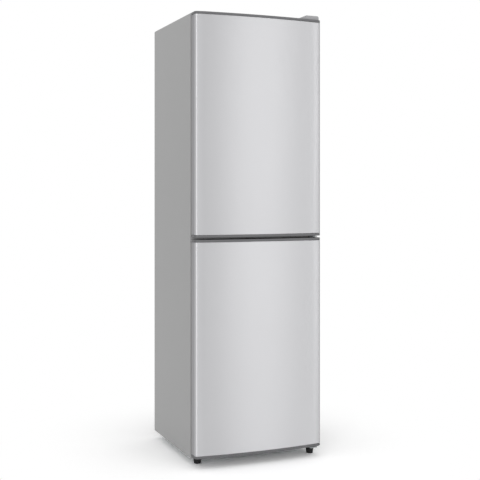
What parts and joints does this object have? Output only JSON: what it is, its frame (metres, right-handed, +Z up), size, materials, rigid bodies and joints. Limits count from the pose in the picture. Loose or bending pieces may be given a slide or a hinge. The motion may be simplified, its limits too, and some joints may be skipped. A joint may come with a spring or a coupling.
{
  "type": "two-door refrigerator",
  "caption": "Tall free-standing refrigerator: fridge space over freezer space, two right-hung bowed doors, inner shelves, bins and drawers, rear condenser.",
  "frame": {"origin": "on the floor, under the middle of the bounding box", "axes": "+Z up, doors face -Y, hinges on the +X side"},
  "size_m": [0.5516, 0.5938, 1.822],
  "materials": {
    "side_paint": "satin",
    "galvanised_sheet": "satin",
    "door_sheet": "satin",
    "cap_plastic": "satin",
    "cover_plastic": "satin",
    "seal_rubber": "matte",
    "liner_plastic": "gloss",
    "foam": "matte",
    "black_plastic": "satin",
    "zinc_steel": "satin",
    "black_enamel": "satin",
    "mount_rubber": "matte",
    "tray_plastic": "satin",
    "copper": "satin",
    "bright_aluminium": "satin",
    "shelf_glass": "gloss",
    "trim_plastic": "gloss",
    "clear_plastic": "gloss",
    "drawer_plastic": "gloss"
  },
  "bodies": {
    "cabinet": {"back_panel": "galvanised_sheet", "base_frame": "galvanised_sheet", "bottom_hinge": "galvanised_sheet", "cabinet_foam": "foam", "cabinet_shell": "side_paint", "compressor": "black_enamel", "compressor_grommets": "mount_rubber", "condenser": "black_enamel", "control_housing": "liner_plastic", "crisper_lid": "shelf_glass", "drain_hose": "tray_plastic", "drip_tray": "tray_plastic", "evaporator": "bright_aluminium", "freezer_liner": "liner_plastic", "freezer_shelf_lower": "shelf_glass", "freezer_shelf_upper": "shelf_glass", "fridge_liner": "liner_plastic", "hinge_screws": "zinc_steel", "lamp_lens": "clear_plastic", "middle_hinge": "galvanised_sheet", "mullion_rail": "side_paint", "refrigerant_pipes": "copper", "relay_box": "black_plastic", "roller_axles": "zinc_steel", "shelf_glass_lower": "shelf_glass", "shelf_glass_middle": "shelf_glass", "shelf_glass_upper": "shelf_glass", "shelf_trim_lower": "trim_plastic", "shelf_trim_middle": "trim_plastic", "shelf_trim_upper": "trim_plastic", "top_hinge": "galvanised_sheet", "top_hinge_cover": "cover_plastic", "wall_spacers": "black_plastic"},
    "upper_door": {"upper_door_skin": "door_sheet", "upper_door_top_cap": "cap_plastic", "upper_door_bottom_cap": "cap_plastic", "upper_door_liner": "liner_plastic", "upper_door_foam": "foam", "upper_door_seal": "seal_rubber", "door_bin_1": "clear_plastic", "door_bin_2": "clear_plastic", "door_bin_3": "clear_plastic"},
    "lower_door": {"lower_door_skin": "door_sheet", "lower_door_top_cap": "cap_plastic", "lower_door_bottom_cap": "cap_plastic", "lower_door_liner": "liner_plastic", "lower_door_foam": "foam", "lower_door_seal": "seal_rubber"},
    "left_levelling_foot": {"left_foot": "black_plastic", "left_foot_stud": "zinc_steel"},
    "right_levelling_foot": {"right_foot": "black_plastic", "right_foot_stud": "zinc_steel"},
    "left_wheel": {"left_roller": "black_plastic"},
    "right_wheel": {"right_roller": "black_plastic"},
    "knob": {"thermostat_knob": "trim_plastic"},
    "door_switch": {"light_switch": "trim_plastic"},
    "crisper": {"crisper_drawer": "clear_plastic"},
    "lower_drawer": {"freezer_drawer_lower": "drawer_plastic"},
    "middle_drawer": {"freezer_drawer_middle": "drawer_plastic"},
    "upper_drawer": {"freezer_drawer_upper": "drawer_plastic"}
  },
  "joints": [
    {"name": "upper_door_hinge", "type": "hinge", "parent": "cabinet", "child": "upper_door", "pos_m": [0.258, -0.2531, 0.9083], "axis": [0, 0, 1], "range_deg": [0, 120]},
    {"name": "lower_door_hinge", "type": "hinge", "parent": "cabinet", "child": "lower_door", "pos_m": [0.258, -0.2531, 0.04], "axis": [0, 0, 1], "range_deg": [0, 120]},
    {"name": "light_switch_plunger", "type": "slide", "parent": "cabinet", "child": "door_switch", "axis": [0, -1, 0], "range_m": [0, 0.006]},
    {"name": "thermostat_knob_turn", "type": "hinge", "parent": "cabinet", "child": "knob", "pos_m": [0.062, -0.0641, 1.7035], "axis": [0, 0, 1], "range_deg": [0, 270]},
    {"name": "left_foot_screw", "type": "slide", "parent": "cabinet", "child": "left_levelling_foot", "axis": [0, 0, -1], "range_m": [0, 0.008]},
    {"name": "right_foot_screw", "type": "slide", "parent": "cabinet", "child": "right_levelling_foot", "axis": [0, 0, -1], "range_m": [0, 0.008]},
    {"name": "left_wheel_spin", "type": "hinge", "parent": "cabinet", "child": "left_wheel", "pos_m": [-0.2, 0.2189, 0.015], "axis": [1, 0, 0], "continuous": true},
    {"name": "right_wheel_spin", "type": "hinge", "parent": "cabinet", "child": "right_wheel", "pos_m": [0.2, 0.2189, 0.015], "axis": [1, 0, 0], "continuous": true},
    {"name": "crisper_slide", "type": "slide", "parent": "cabinet", "child": "crisper", "axis": [0, -1, 0], "range_m": [0, 0.025]},
    {"name": "lower_drawer_slide", "type": "slide", "parent": "cabinet", "child": "lower_drawer", "axis": [0, -1, 0], "range_m": [0, 0.025]},
    {"name": "middle_drawer_slide", "type": "slide", "parent": "cabinet", "child": "middle_drawer", "axis": [0, -1, 0], "range_m": [0, 0.025]},
    {"name": "upper_drawer_slide", "type": "slide", "parent": "cabinet", "child": "upper_drawer", "axis": [0, -1, 0], "range_m": [0, 0.018]}
  ],
  "couplings": [
    {"joint": "light_switch_plunger", "follows": "upper_door_hinge", "m_per_rad": 0.0028647}
  ]
}
